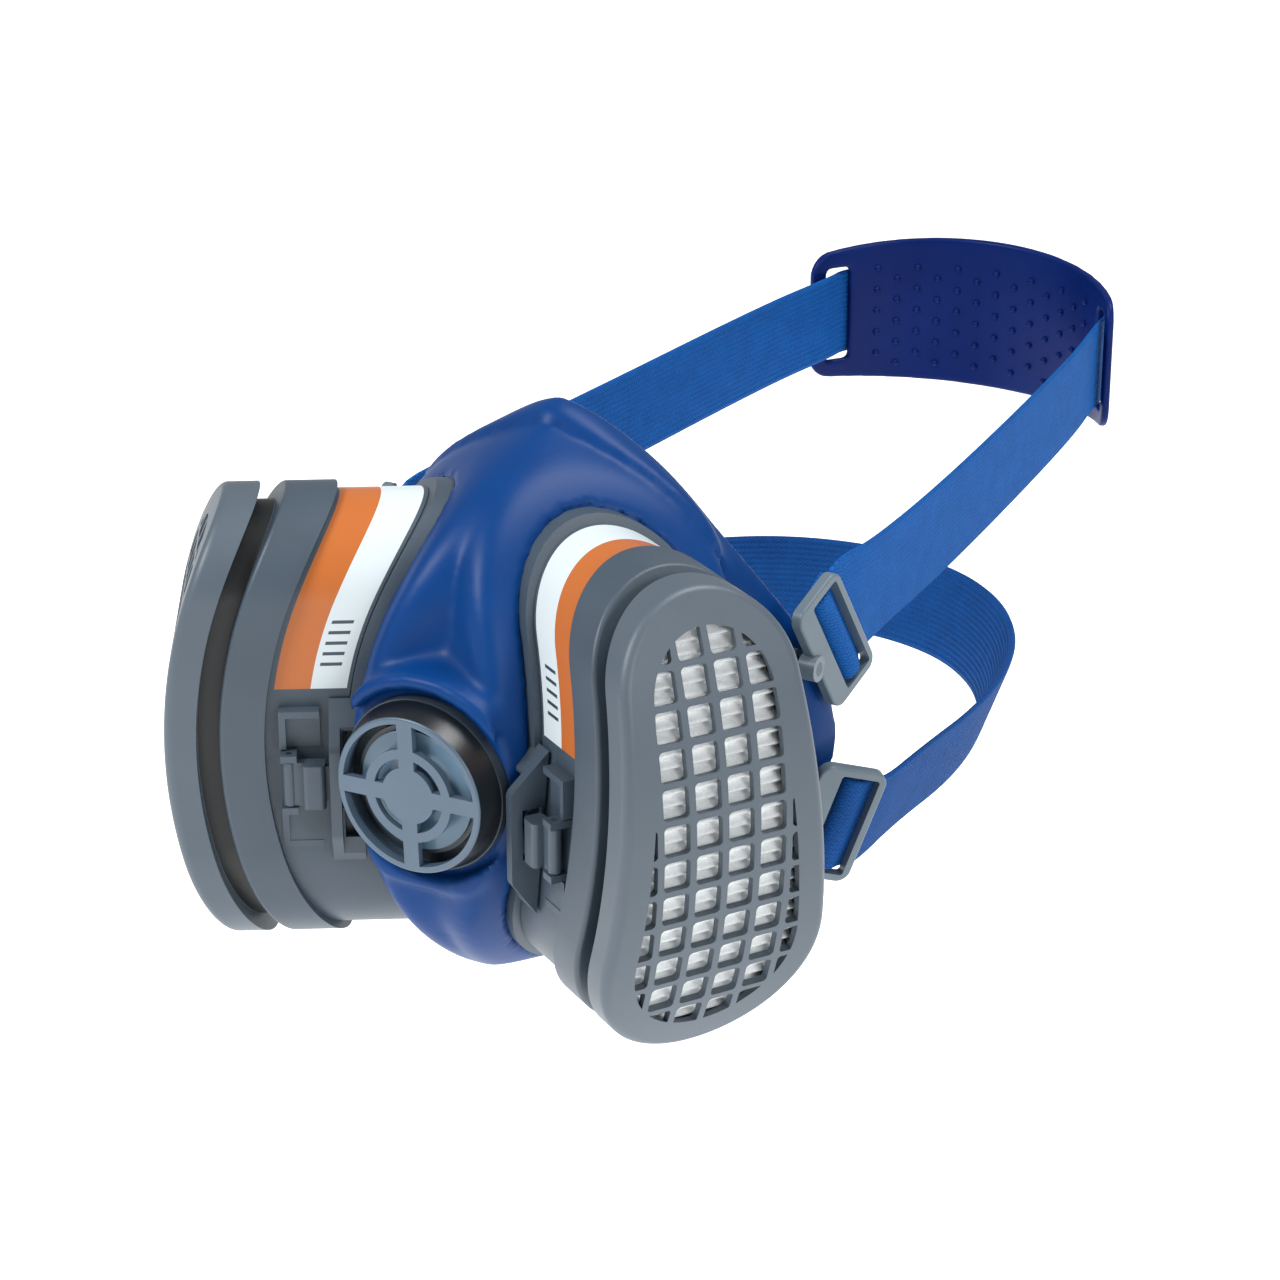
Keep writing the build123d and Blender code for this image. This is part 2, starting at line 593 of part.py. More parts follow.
def main():
    os.makedirs(OUTPUT, exist_ok=True)
    cartridge = {
        "grille_cap": filter_cap(),
        "pleated_media": pleated_media(),
        "media_ring": media_ring(),
        "carbon_bed": carbon_bed(),
        "outer_screen": screen(23.0, 24.2),
        "inner_screen": screen(36.4, 37.6),
        "cartridge_body": cartridge_body(),
        "label": label_band(LABEL_THICKNESS),
        "clip": clip(),
        "clip_pin": clip_pin(),
        "port_gasket": port_gasket(),
        "inhalation_seat": spoked_seat(PORT_BORE, 50.4, 52.0, 1.5),
        "inhalation_flap": valve_flap(FLAP_RADIUS, 50.4, 52.0, False),
    }
    buckles = {
        "upper_buckle": (UPPER_BUCKLE, UPPER_LIE, UPPER_UP),
        "lower_buckle": (LOWER_BUCKLE, LOWER_LIE, LOWER_UP),
    }
    arms = [strap_arm(origin, lie) for origin, lie, up in buckles.values()]
    all_arms = []
    for side in SIDES:
        for name, shape in cartridge.items():
            write(name + "_" + side, placed(shape, side))
        for name, data in buckles.items():
            write(name + "_" + side, mirrored(buckle(*data), side))
        side_arms = [mirrored(arm, side) for arm in arms]
        all_arms += side_arms
        port = placed(collar(), side)
        for arm in side_arms:
            port += arm
        write("collar_" + side, port)
    write("facepiece", facepiece(all_arms))
    write("valve_base", along_valve(valve_base()))
    write("valve_diaphragm", along_valve(valve_diaphragm()))
    write("valve_cover", along_valve(valve_cover()))
    write("head_strap", head_strap())
    write("neck_strap", neck_strap())
    write("head_cradle", head_cradle())


main()
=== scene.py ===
# %% [markdown]
# # A half-mask respirator
# A soft blue facepiece carries two grey filter cartridges, a round exhalation valve, and a
# harness of elastic webbing. The hard plastic pieces come finished from the CAD frame and only
# need a surface. The soft ones, the facepiece, straps, cradle and filter paper, are built here.

# %% Load the frame
import math
import bpy
import numpy as np
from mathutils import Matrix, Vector


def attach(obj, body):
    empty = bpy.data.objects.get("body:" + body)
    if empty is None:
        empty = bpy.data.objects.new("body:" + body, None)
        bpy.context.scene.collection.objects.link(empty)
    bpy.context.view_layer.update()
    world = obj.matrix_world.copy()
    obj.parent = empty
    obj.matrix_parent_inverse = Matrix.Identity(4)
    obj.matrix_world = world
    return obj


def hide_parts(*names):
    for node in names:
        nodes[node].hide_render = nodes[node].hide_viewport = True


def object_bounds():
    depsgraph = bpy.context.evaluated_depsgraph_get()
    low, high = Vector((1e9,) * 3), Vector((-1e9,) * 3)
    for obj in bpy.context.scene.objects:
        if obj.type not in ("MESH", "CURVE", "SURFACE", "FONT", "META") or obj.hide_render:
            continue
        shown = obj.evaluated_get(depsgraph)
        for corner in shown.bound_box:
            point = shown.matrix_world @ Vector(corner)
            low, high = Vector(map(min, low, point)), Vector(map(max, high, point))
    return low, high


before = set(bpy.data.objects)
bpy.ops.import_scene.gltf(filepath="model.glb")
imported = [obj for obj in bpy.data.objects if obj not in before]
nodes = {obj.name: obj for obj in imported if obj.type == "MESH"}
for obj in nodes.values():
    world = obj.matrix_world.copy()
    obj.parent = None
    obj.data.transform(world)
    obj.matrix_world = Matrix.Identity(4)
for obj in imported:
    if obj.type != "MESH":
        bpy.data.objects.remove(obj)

MM = 0.001
cad_low, cad_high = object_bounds()
print("CAD box, mm:", [round(value / MM, 1) for value in (*cad_low, *cad_high)])

# %% [markdown]
# ## Camera, floor and light
# The camera looks down on the wearer's left cheek from far away through a long lens, so that the
# near cartridge isn't swollen by perspective. One big soft light from the upper left draws the
# long highlights on the grey plastic, and a white surround fills the shadows.

# %% Camera
AIM = Vector((0.0212, -0.0203, 0.0165))
AZIMUTH = math.radians(29.0)
ELEVATION = math.radians(23.5)
DISTANCE = 0.8

back = Vector((
    math.sin(AZIMUTH) * math.cos(ELEVATION),
    -math.cos(AZIMUTH) * math.cos(ELEVATION),
    math.sin(ELEVATION),
))
camera = bpy.data.objects.new("camera", bpy.data.cameras.new("camera"))
camera.data.lens = 100
camera.data.sensor_width = 36
camera.data.clip_start = 0.01
camera.location = AIM + back * DISTANCE
camera.rotation_mode = "QUATERNION"
camera.rotation_quaternion = (-back).to_track_quat("-Z", "Y")
bpy.context.scene.collection.objects.link(camera)
bpy.context.scene.camera = camera
print("camera at", [round(value, 4) for value in camera.location])


# %% Colour and node helpers
def linear(code):
    """A linear RGBA colour from an sRGB hex code."""
    values = [int(code[place:place + 2], 16) / 255 for place in (1, 3, 5)]
    return (*[v / 12.92 if v <= 0.04045 else ((v + 0.055) / 1.055) ** 2.4 for v in values], 1.0)


def add(tree, kind, inputs=None, **settings):
    """Add one node, with its settings, and its sockets either linked or given a value."""
    made = tree.nodes.new(kind)
    for name, value in settings.items():
        setattr(made, name, value)
    for name, value in (inputs or {}).items():
        if isinstance(value, bpy.types.NodeSocket):
            tree.links.new(value, made.inputs[name])
        else:
            made.inputs[name].default_value = value
    return made


def new_material(name, **shader):
    """An empty material with a Principled shader, its tree, and Object coordinates."""
    material = bpy.data.materials.new(name)
    material.use_nodes = True
    tree = material.node_tree
    surface = tree.nodes["Principled BSDF"]
    for socket, value in shader.items():
        surface.inputs[socket.replace("_", " ")].default_value = value
    place = add(tree, "ShaderNodeTexCoord").outputs["Object"]
    return material, tree, surface, place


# %% Floor and lights
FLOOR_GAP = 0.09
FLOOR_REACH = 6.0
FLOOR_GLOW = 0.6
SURROUND = 0.36

level = cad_low.z - FLOOR_GAP
corners = [(-FLOOR_REACH, -FLOOR_REACH), (FLOOR_REACH, -FLOOR_REACH), (FLOOR_REACH, FLOOR_REACH),
           (-FLOOR_REACH, FLOOR_REACH)]
floor_mesh = bpy.data.meshes.new("floor")
floor_mesh.from_pydata([(*corner, level) for corner in corners], [], [(0, 1, 2, 3)])
floor = bpy.data.objects.new("floor", floor_mesh)
bpy.context.scene.collection.objects.link(floor)
# A little glow of its own keeps the far floor as white as the near floor.
floor_paint = new_material(
    "matt_white_floor", Base_Color=linear("#fbfcfc"), Roughness=1.0,
    Emission_Color=linear("#ffffff"), Emission_Strength=FLOOR_GLOW)[0]
floor_mesh.materials.append(floor_paint)

world = bpy.data.worlds.new("studio")
world.use_nodes = True
world.node_tree.nodes["Background"].inputs["Color"].default_value = linear("#ffffff")
world.node_tree.nodes["Background"].inputs["Strength"].default_value = SURROUND
bpy.context.scene.world = world
# The plain transform keeps the deep blues saturated; the filmic one washes them out.
bpy.context.scene.view_settings.view_transform = "Standard"


def softbox(name, place, size, watts):
    """A square area light that points at the mask."""
    lamp = bpy.data.lights.new(name, "AREA")
    lamp.size = size
    lamp.energy = watts
    lamp_object = bpy.data.objects.new(name, lamp)
    lamp_object.location = place
    lamp_object.rotation_mode = "QUATERNION"
    lamp_object.rotation_quaternion = (AIM - Vector(place)).to_track_quat("-Z", "Y")
    bpy.context.scene.collection.objects.link(lamp_object)


softbox("key", (-0.5, -0.75, 0.85), 0.4, 11.5)
softbox("top", (0.35, 0.3, 1.0), 0.45, 8.5)
softbox("side", (1.0, -0.45, 0.45), 0.3, 3.6)
print("lights:", len(bpy.data.lights))

# %% [markdown]
# ## Moulded plastics and rubbers
# Each hard part is injection moulded. Its tool is spark-eroded, which leaves a grain of about a
# third of a millimetre that scatters the highlight. One function makes them all: a slow mottle
# in the colour, a fine grain in the normal, and a roughness that wanders a little.


# %% Moulded finish
GRAIN_DEPTH = 0.1


def moulded(name, dark, light, mottle_mm, grain_mm, bump, rough, spread=0.06, **shader):
    """A moulded surface: mottled colour, fine grain and slightly uneven gloss."""
    material, tree, surface, place = new_material(name, **shader)
    mottle = add(tree, "ShaderNodeTexNoise", {
        "Vector": place, "Scale": 1 / (mottle_mm * MM), "Detail": 3.0}).outputs["Fac"]
    grain = add(tree, "ShaderNodeTexNoise", {
        "Vector": place, "Scale": 1 / (grain_mm * MM), "Detail": 2.0}).outputs["Fac"]
    mix = add(tree, "ShaderNodeMix", data_type="RGBA")
    mix.inputs[6].default_value = linear(dark)
    mix.inputs[7].default_value = linear(light)
    tree.links.new(mottle, mix.inputs[0])
    tree.links.new(mix.outputs[2], surface.inputs["Base Color"])
    gloss = add(tree, "ShaderNodeMapRange", {
        "Value": mottle, "To Min": rough - spread, "To Max": rough + spread})
    tree.links.new(gloss.outputs["Result"], surface.inputs["Roughness"])
    relief = add(tree, "ShaderNodeBump", {
        "Height": grain, "Strength": bump, "Distance": GRAIN_DEPTH * MM})
    tree.links.new(relief.outputs["Normal"], surface.inputs["Normal"])
    return material


# %% [markdown]
# ## Depth below a bowed face
# Every layer of a cartridge is bowed, so a band of colour on it follows a circle. This group of
# nodes says how far a point lies outside the layer at one depth, the same on both sides.

# %% Bowed depth
FACE_X, FACE_Y, FILTER_YAW = 71.0, -73.0, math.radians(58)
FACE_BOW, BOW_TIGHTENING = 107.0, 0.69


def maths(tree, operation, first, second=0.0):
    """A Math node's result, for values or sockets."""
    return add(tree, "ShaderNodeMath", {0: first, 1: second}, operation=operation).outputs[0]


def within(tree, value, middle, reach):
    """One where a value is within reach of a middle, else nought."""
    test = maths(tree, "COMPARE", value, middle)
    test.node.inputs[2].default_value = reach
    return test


def bowed_level(tree, place, depth):
    """How far a point is outside the bowed layer at this depth, and its height, in metres."""
    split = add(tree, "ShaderNodeSeparateXYZ", {0: place})
    across = maths(tree, "SUBTRACT", maths(tree, "ABSOLUTE", split.outputs[0]), FACE_X * MM)
    ahead = maths(tree, "SUBTRACT", split.outputs[1], FACE_Y * MM)
    out = maths(tree, "SUBTRACT", maths(tree, "MULTIPLY", across, math.sin(FILTER_YAW)),
                maths(tree, "MULTIPLY", ahead, math.cos(FILTER_YAW)))
    radius = (FACE_BOW - BOW_TIGHTENING * depth) * MM
    height = split.outputs[2]
    squared = maths(tree, "MULTIPLY", height, height)
    sagged = maths(tree, "SQRT", maths(tree, "SUBTRACT", radius ** 2, squared))
    return maths(tree, "SUBTRACT", maths(tree, "ADD", out, radius + depth * MM), sagged), height


def object_place(tree):
    """The Object coordinates that a finish already uses."""
    return next(node for node in tree.nodes if node.type == "TEX_COORD").outputs["Object"]


def darken(tree, where, colour):
    """Mix a second colour into a finish wherever the mask is one."""
    base = tree.nodes["Principled BSDF"].inputs["Base Color"]
    mix = add(tree, "ShaderNodeMix", data_type="RGBA")
    mix.inputs[7].default_value = linear(colour)
    tree.links.new(where, mix.inputs[0])
    tree.links.new(base.links[0].from_socket, mix.inputs[6])
    tree.links.new(mix.outputs[2], base)


# %% The plastics and rubbers
NECK_MIDDLE_DEPTH, NECK_HALF_DEPTH = 9.8, 2.5
COVER_FACE_RADIUS = 18.1

# ABS with a spark-eroded grain: a calm satin grey with soft, wide highlights.
body_abs = moulded("abs_spark_grain_grey", "#35424e", "#3f4d5a", 14, 0.35, 0.25, 0.46, IOR=1.53)
# The same ABS painted a shade lighter on the caps, as a painted highlight where they face the light.
cap_abs_painted_light_and_shade = moulded("abs_spark_grain_cap_painted_light_and_shade", "#45515c", "#4f5b66", 18, 0.35, 0.22, 0.44, IOR=1.53)
# The cap's neck is painted darker, to stand in for the shade of a deeper groove.
tree = cap_abs_painted_light_and_shade.node_tree
neck_level, _ = bowed_level(tree, object_place(tree), NECK_MIDDLE_DEPTH)
darken(tree, within(tree, neck_level, 0.0, NECK_HALF_DEPTH * MM), "#080c10")
# Glossier polypropylene: the valve cover shows sharper highlights than the filters.
valve_pp = moulded("polypropylene_moulded_valve", "#46586a", "#516476", 10, 0.5, 0.12, 0.36, IOR=1.49)
# The cover's sloping side is painted darker than its face.
tree = valve_pp.node_tree
split = add(tree, "ShaderNodeSeparateXYZ", {0: object_place(tree)})
across_squared = maths(tree, "POWER", split.outputs[0], 2.0)
height_squared = maths(tree, "POWER", split.outputs[2], 2.0)
from_axis = maths(tree, "SQRT", maths(tree, "ADD", across_squared, height_squared))
darken(tree, maths(tree, "GREATER_THAN", from_axis, COVER_FACE_RADIUS * MM), "#10161b")
# Acetal buckles: a pale, slightly waxy grey.
buckle_pom = moulded("acetal_moulded_buckle", "#55636d", "#64737d", 9, 0.4, 0.15, 0.38, IOR=1.48)
# Dark ABS, for the valve base, the valve seats and the screens.
dark_abs = moulded("abs_moulded_charcoal", "#29323b", "#35404a", 9, 0.4, 0.2, 0.42, IOR=1.53)
# Nitrile rubber: black and dull.
gasket_nbr = moulded("nitrile_rubber_gasket", "#101214", "#1a1d20", 6, 0.5, 0.3, 0.7, IOR=1.52)
# Activated carbon granules about a millimetre across.
carbon = moulded("activated_carbon_granules", "#0c0d0e", "#25282b", 1.2, 1.0, 1.0, 0.8, IOR=1.6)
# Drawn stainless pin.
pin_steel = moulded("stainless_steel_drawn", "#8d9195", "#a5a9ad", 2, 0.2, 0.1, 0.3, Metallic=1.0)
# Soft thermoplastic elastomer from a polished tool: deep blue with a wide satin sheen.
elastomer = moulded("elastomer_satin_blue", "#00306a", "#033c7a", 22, 0.6, 0.12, 0.42, IOR=1.43,
                    Specular_IOR_Level=0.22)
# Softer, darker rubber of the head cradle.
cradle_rubber = moulded("elastomer_cradle_blue", "#001650", "#012062", 16, 0.6, 0.12, 0.4, IOR=1.43,
                        Specular_IOR_Level=0.16)
print("moulded materials:", len(bpy.data.materials))

# %% [markdown]
# ## Finish the CAD plastics
# The CAD meshes keep their shape. They only lose the plain material they arrived with.

# %% Hard parts
FINISHES = {
    "grille_cap": cap_abs_painted_light_and_shade, "media_ring": body_abs, "cartridge_body": body_abs, "collar": body_abs,
    "clip": body_abs, "clip_pin": pin_steel, "port_gasket": gasket_nbr, "inhalation_seat": dark_abs,
    "carbon_bed": carbon, "outer_screen": dark_abs, "inner_screen": dark_abs,
    "upper_buckle": buckle_pom, "lower_buckle": buckle_pom,
}
SIDES = {"right": 1, "left": -1}


def dress(node, material):
    """Give a CAD node one material."""
    node.data.materials.clear()
    node.data.materials.append(material)


for part, finish in FINISHES.items():
    for side in SIDES:
        dress(nodes[part + "_" + side], finish)
dress(nodes["valve_base"], dark_abs)
dress(nodes["valve_cover"], valve_pp)
print("dressed", 2 * len(FINISHES) + 2, "CAD nodes")

# %% [markdown]
# ## Clear silicone
# The valve flaps are thin translucent silicone. They let some light through and blur it.

# %% Silicone
silicone = new_material(
    "silicone_clear_moulded", Base_Color=linear("#7fa0b8"), Roughness=0.16, IOR=1.41,
    Transmission_Weight=0.35)[0]
for name in ("valve_diaphragm", "inhalation_flap_right", "inhalation_flap_left"):
    dress(nodes[name], silicone)

# %% [markdown]
# ## The printed label
# A printed film goes round the front and over the top of each cartridge. Its outer half is
# orange and its inner half white. The print is plain bars that stand for text.
# The band follows the bowed body, so the border between the colours does too: it is worked out
# from the same circle that bows the body.

# %% Label film
LABEL_MIDDLE = 31.5
BAR_PITCH, BAR_SHARE = 2.4, 0.32
BARS_LEVEL, BARS_HALF_LENGTH = -3.6, 2.4
BARS_HEIGHT, BARS_HALF_STACK = 24.0, 6.0


def label_film():
    """White and orange halves, split along the bowed middle of the band."""
    material, tree, surface, place = new_material("label_film_printed", Roughness=0.32, IOR=1.46)
    level, height = bowed_level(tree, place, LABEL_MIDDLE)
    orange = maths(tree, "GREATER_THAN", level, 0.0)
    mix = add(tree, "ShaderNodeMix", data_type="RGBA")
    mix.inputs[6].default_value = linear("#cbd5d8")
    mix.inputs[7].default_value = linear("#b5642c")
    tree.links.new(orange, mix.inputs[0])
    # One stack of printed bars, near the middle of the white half
    run = maths(tree, "FRACT", maths(tree, "DIVIDE", height, BAR_PITCH * MM))
    bar = maths(tree, "LESS_THAN", run, BAR_SHARE)
    along_bar = within(tree, level, BARS_LEVEL * MM, BARS_HALF_LENGTH * MM)
    in_stack = within(tree, height, BARS_HEIGHT * MM, BARS_HALF_STACK * MM)
    printed = maths(tree, "MULTIPLY", maths(tree, "MULTIPLY", bar, along_bar), in_stack)
    ink = add(tree, "ShaderNodeMix", data_type="RGBA")
    tree.links.new(printed, ink.inputs[0])
    tree.links.new(mix.outputs[2], ink.inputs[6])
    ink.inputs[7].default_value = linear("#3a4450")
    tree.links.new(ink.outputs[2], surface.inputs["Base Color"])
    texture = add(tree, "ShaderNodeTexNoise", {"Vector": place, "Scale": 1 / (0.8 * MM)}).outputs["Fac"]
    relief = add(tree, "ShaderNodeBump", {"Height": texture, "Strength": 0.08, "Distance": 0.05 * MM})
    tree.links.new(relief.outputs["Normal"], surface.inputs["Normal"])
    return material


label_material = label_film()
for side in SIDES:
    dress(nodes["label_" + side], label_material)
print("label colours split", LABEL_MIDDLE, "mm behind the filter's face")

# %% [markdown]
# ## A surface from a distance field
# The facepiece is one soft moulding with no flat faces: bosses flow into the nose, a lip turns
# in at the seal. Lofting patches for that is hard. A distance field is easier: each bit of shape
# is a formula that says how far a point is from its surface, two shapes join with a smooth
# minimum that rounds the corner between them, and a net is then drawn where the result is zero.


# %% Field tools
def join(one, other, radius):
    """Smooth union of two fields, with a fillet of about this radius."""
    share = np.clip(0.5 + 0.5 * (other - one) / radius, 0, 1)
    return other * (1 - share) + one * share - radius * share * (1 - share)


def keep(one, other, radius):
    """Smooth intersection of two fields."""
    return -join(-one, -other, radius)


def cut(one, tool, radius):
    """Smooth difference: one with the tool removed."""
    return -join(-one, tool, radius)


def surface_net(field, start, step):
    """Vertices and quads where a gridded field crosses zero, one vertex in each crossed cell."""
    size = np.array(field.shape)
    total = np.zeros((*(size - 1), 3))
    count = np.zeros(size - 1)
    inside = field < 0
    for axis in range(3):
        others = [other for other in range(3) if other != axis]
        for first in (0, 1):
            for second in (0, 1):
                offset = [0, 0, 0]
                offset[others[0]] = first
                offset[others[1]] = second
                near = tuple(slice(o, o + n - 1) for o, n in zip(offset, size))
                offset[axis] = 1
                far = tuple(slice(o, o + n - 1) for o, n in zip(offset, size))
                crossed = inside[near] != inside[far]
                offset[axis] = 0
                rise = field[near] - field[far]
                part = np.divide(field[near], rise, out=np.zeros_like(rise), where=crossed)
                for other in range(3):
                    total[..., other] += np.where(crossed, offset[other] + (part if other == axis else 0), 0)
                count += crossed
    used = count > 0
    number = np.full(size - 1, -1)
    number[used] = np.arange(used.sum())
    corners = np.argwhere(used) + total[used] / count[used][:, None]
    quads = []
    for axis in range(3):
        one, two = (axis + 1) % 3, (axis + 2) % 3
        lower = [slice(1, n - 1) for n in size]
        upper = list(lower)
        lower[axis] = slice(0, size[axis] - 1)
        upper[axis] = slice(1, size[axis])
        leaving = inside[tuple(lower)] & ~inside[tuple(upper)]
        entering = ~inside[tuple(lower)] & inside[tuple(upper)]
        for mask, turned in ((leaving, False), (entering, True)):
            cell = np.argwhere(mask)
            cell[:, one] += 1
            cell[:, two] += 1
            ring = []
            for down_one, down_two in ((1, 1), (0, 1), (0, 0), (1, 0)):
                at = cell.copy()
                at[:, one] -= down_one
                at[:, two] -= down_two
                ring.append(number[at[:, 0], at[:, 1], at[:, 2]])
            quads.append(np.stack(ring[::-1] if turned else ring, 1))
    return corners * step + np.array(start), np.concatenate(quads)


def mesh_piece(name, points, faces, material):
    """A smooth mesh object from points in millimetres, with one material."""
    if isinstance(faces, np.ndarray):
        faces = faces.tolist()
    mesh = bpy.data.meshes.new(name)
    mesh.from_pydata((np.asarray(points) * MM).tolist(), [], faces)
    mesh.validate()
    mesh.shade_smooth()
    mesh.materials.append(material)
    piece = bpy.data.objects.new(name, mesh)
    bpy.context.scene.collection.objects.link(piece)
    return piece


def relax(points, faces, rounds):
    """Move each vertex towards the middle of its faces' corners, to calm the net's steps."""
    for _ in range(rounds):
        middles = points[faces].mean(1)
        total = np.zeros_like(points)
        count = np.zeros(len(points))
        for corner in range(4):
            np.add.at(total, faces[:, corner], middles)
            np.add.at(count, faces[:, corner], 1)
        points = 0.4 * points + 0.6 * total / count[:, None]
    return points


# %% [markdown]
# ## Shapes that the facepiece shares with the cartridges
# The cartridge's outline is two circles joined by tangents. Its distance has a short formula.


# %% Egg outline and filter frame
LOWER_RADIUS, LOWER_CENTRE, UPPER_RADIUS, UPPER_CENTRE = 27.0, -26.5, 21.5, 32.0


def egg_distance(across, up):
    """Distance outside the cartridge's outline."""
    span = UPPER_CENTRE - LOWER_CENTRE
    sine = (LOWER_RADIUS - UPPER_RADIUS) / span
    cosine = math.sqrt(1 - sine ** 2)
    across = np.abs(across)
    height = up - LOWER_CENTRE
    along = cosine * height - sine * across
    low = np.hypot(across, height) - LOWER_RADIUS
    high = np.hypot(across, height - span) - UPPER_RADIUS
    side = across * cosine + height * sine - LOWER_RADIUS
    return np.where(along < 0, low, np.where(along > cosine * span, high, side))


def filter_frame(x, y):
    """Place across the cartridge and out of its face, the same on both sides of the mask."""
    right = np.abs(x) - FACE_X
    ahead = y - FACE_Y
    across = right * math.cos(FILTER_YAW) + ahead * math.sin(FILTER_YAW)
    out = right * math.sin(FILTER_YAW) - ahead * math.cos(FILTER_YAW)
    return across, out


# %% [markdown]
# ## Facepiece
# The base is a rounded-triangle tunnel that widens from the valve to the face. Its nose is cut
# to a narrow flat strip. A pillow stands round each filter collar, a raised rim with a shallow
# dish stands round the valve, and a bead runs round the seal, which turns in on the face.

# %% Facepiece field
STATIONS = np.array([-76.0, -60, -40, -20, 8])
HALF_WIDTH = np.array([19.0, 28, 40, 51, 60])
WIDEST = np.array([-2.0, -4, -6, -8, -8])
TOP = np.array([22.0, 40, 57, 68, 76])
BOTTOM = np.array([-32.0, -46, -55, -58, -60])
NOSE_POWER, CHIN_POWER = 1.45, 0.95
SMALLEST_SLOPE = 0.008
# Side view of the seal, as height and place along Y, from the chin to above the nose
SEAL = np.array([(-66, -52), (-56, -40), (-42, -14), (-27, 2), (-8, 5), (14, 3), (32, -4), (47, -9),
                 (60, -12), (71, -17), (82, -28)], float)
WALL = 3.0
COLLAR_REAR = 43.9
CHIN_LOW = -56.0
GRID = 1.1
# The flat nose strip: where it starts, and how far back it goes for each step up
STRIP_FRONT, STRIP_HEIGHT, STRIP_SLOPE = -71.5, 22.0, 0.889
PILLOW_TOP, PILLOW_WIDTH, PILLOW_DEPTH, COLLAR_ROOM = 41.8, 10.0, 18.0, 9.0
VALVE_RIM, VALVE_DISH, VALVE_HOLE, VALVE_RIM_FRONT = 25.5, 22.0, 15.1, -79.5
BEAD_HEIGHT, BEAD_HALF_WIDTH = 2.2, 5.0
LIP_DEPTH, MOUTH_INSET = 2.6, 13.0
PORT_POCKET, PORT_POCKET_DEPTH, PORT_HOLE, PORT_HOLE_DEPTH = 19.4, 46.1, 17.1, 64.0


def soften(rows, times):
    """Cut the corners of a route a few times, keeping its ends."""
    for _ in range(times):
        inner = np.stack([0.75 * rows[:-1] + 0.25 * rows[1:], 0.25 * rows[:-1] + 0.75 * rows[1:]], 1)
        rows = np.vstack([rows[:1], inner.reshape(-1, rows.shape[1]), rows[-1:]])
    return rows


def bowed_distance(out, up, depth):
    """How far points are outside the bowed layer at this depth."""
    radius = FACE_BOW - BOW_TIGHTENING * depth
    return np.hypot(up, out + depth + radius) - radius


def through_stations(values, place):
    """The smooth curve through a size's value at each station."""
    middle, spread = STATIONS.mean(), 40.0
    fit = np.polyfit((STATIONS - middle) / spread, values, len(STATIONS) - 1)
    place = np.clip(place, STATIONS[0] - 2, STATIONS[-1] + 2)
    return np.polyval(fit, (place - middle) / spread)


def tunnel(x, y, z, step):
    """Distance from the base: pointed above its widest height and full below it."""
    width = through_stations(HALF_WIDTH, y)
    middle = through_stations(WIDEST, y)
    rise = z - middle
    up = rise > 0
    power = np.where(up, NOSE_POWER, CHIN_POWER)
    reach = np.where(up, through_stations(TOP, y) - middle, middle - through_stations(BOTTOM, y))
    size = ((np.abs(x) / width) ** (2 / power) + (np.abs(rise) / reach) ** (2 / power)) ** (power / 2)
    slope = np.sqrt(sum(part ** 2 for part in np.gradient(size, step)))
    return (size - 1) / np.maximum(slope, SMALLEST_SLOPE)


def body_field(x, y, z, step):
    """The body before it is hollowed: tunnel, nose strip, collar pillows and valve rim."""
    across, out = filter_frame(x, y)
    egg = egg_distance(across, z)
    level = bowed_distance(out, z, PILLOW_TOP)
    rear = bowed_distance(out, z, COLLAR_REAR)
    round_valve = np.hypot(x, z)
    body = keep(tunnel(x, y, z, step), STATIONS[0] - y, 5.0)
    strip = (STRIP_FRONT + (z - STRIP_HEIGHT) * STRIP_SLOPE - y) / math.hypot(1, STRIP_SLOPE)
    body = keep(body, strip, 4.0)
    pillow = keep(keep(egg - PILLOW_WIDTH, level + 0.5, 6.0), -(level + PILLOW_DEPTH), 2.0)
    body = join(body, keep(pillow, CHIN_LOW - z, 3.0), 5.0)
    body = keep(body, CHIN_LOW - z, 3.0)
    rim = keep(keep(round_valve - VALVE_RIM, VALVE_RIM_FRONT - y, 1.6), y + 60, 1.0)
    body = join(body, rim, 3.0)
    body = cut(body, keep(egg - COLLAR_ROOM, -level, 1.5), 2.0)
    body = cut(body, keep(egg - 0.3, -rear, 0.2), 0.3)
    return cut(body, keep(round_valve - VALVE_DISH, y - STATIONS[0], 0.8), 1.2)


def facepiece_field(x, y, z, step):
    """Distance from the moulded facepiece: the body with its bead, hollowed and pierced."""
    across, out = filter_frame(x, y)
    body = body_field(x, y, z, step)
    edge = soften(SEAL, 3)
    seal = np.interp(z, edge[:, 0], edge[:, 1])
    from_bead = (seal - y - BEAD_HALF_WIDTH) / BEAD_HALF_WIDTH
    bead = BEAD_HEIGHT * np.sqrt(np.clip(1 - from_bead ** 2, 0, 1))
    # The bead fades out beside the collars and below the cheeks, where the lower buckles swing
    beside_collar = np.clip((egg_distance(across, z) - 6) / 5, 0, 1)
    above_buckles = np.clip((z + 10) / 20, 0, 1)
    shell = keep(body - bead * beside_collar * above_buckles, y - seal, 1.5)
    room = keep(body + WALL, y - (seal - LIP_DEPTH), 2.0)
    shell = cut(shell, join(room, body + MOUTH_INSET, 1.5), 0.8)
    round_port = np.hypot(across, z)
    pocket = keep(round_port - PORT_POCKET, -(out + PORT_POCKET_DEPTH), 0.3)
    port = keep(round_port - PORT_HOLE, -(out + PORT_HOLE_DEPTH), 0.3)
    valve_hole = keep(np.hypot(x, z) - VALVE_HOLE, y + 60, 0.3)
    for hole in (pocket, port, valve_hole):
        shell = cut(shell, hole, 0.4)
    return shell


def grid_axes(low, high, step):
    """Grid values along each axis, and the full grid."""
    axes = [np.arange(a, b + step, step) for a, b in zip(low, high)]
    return np.meshgrid(*axes, indexing="ij")


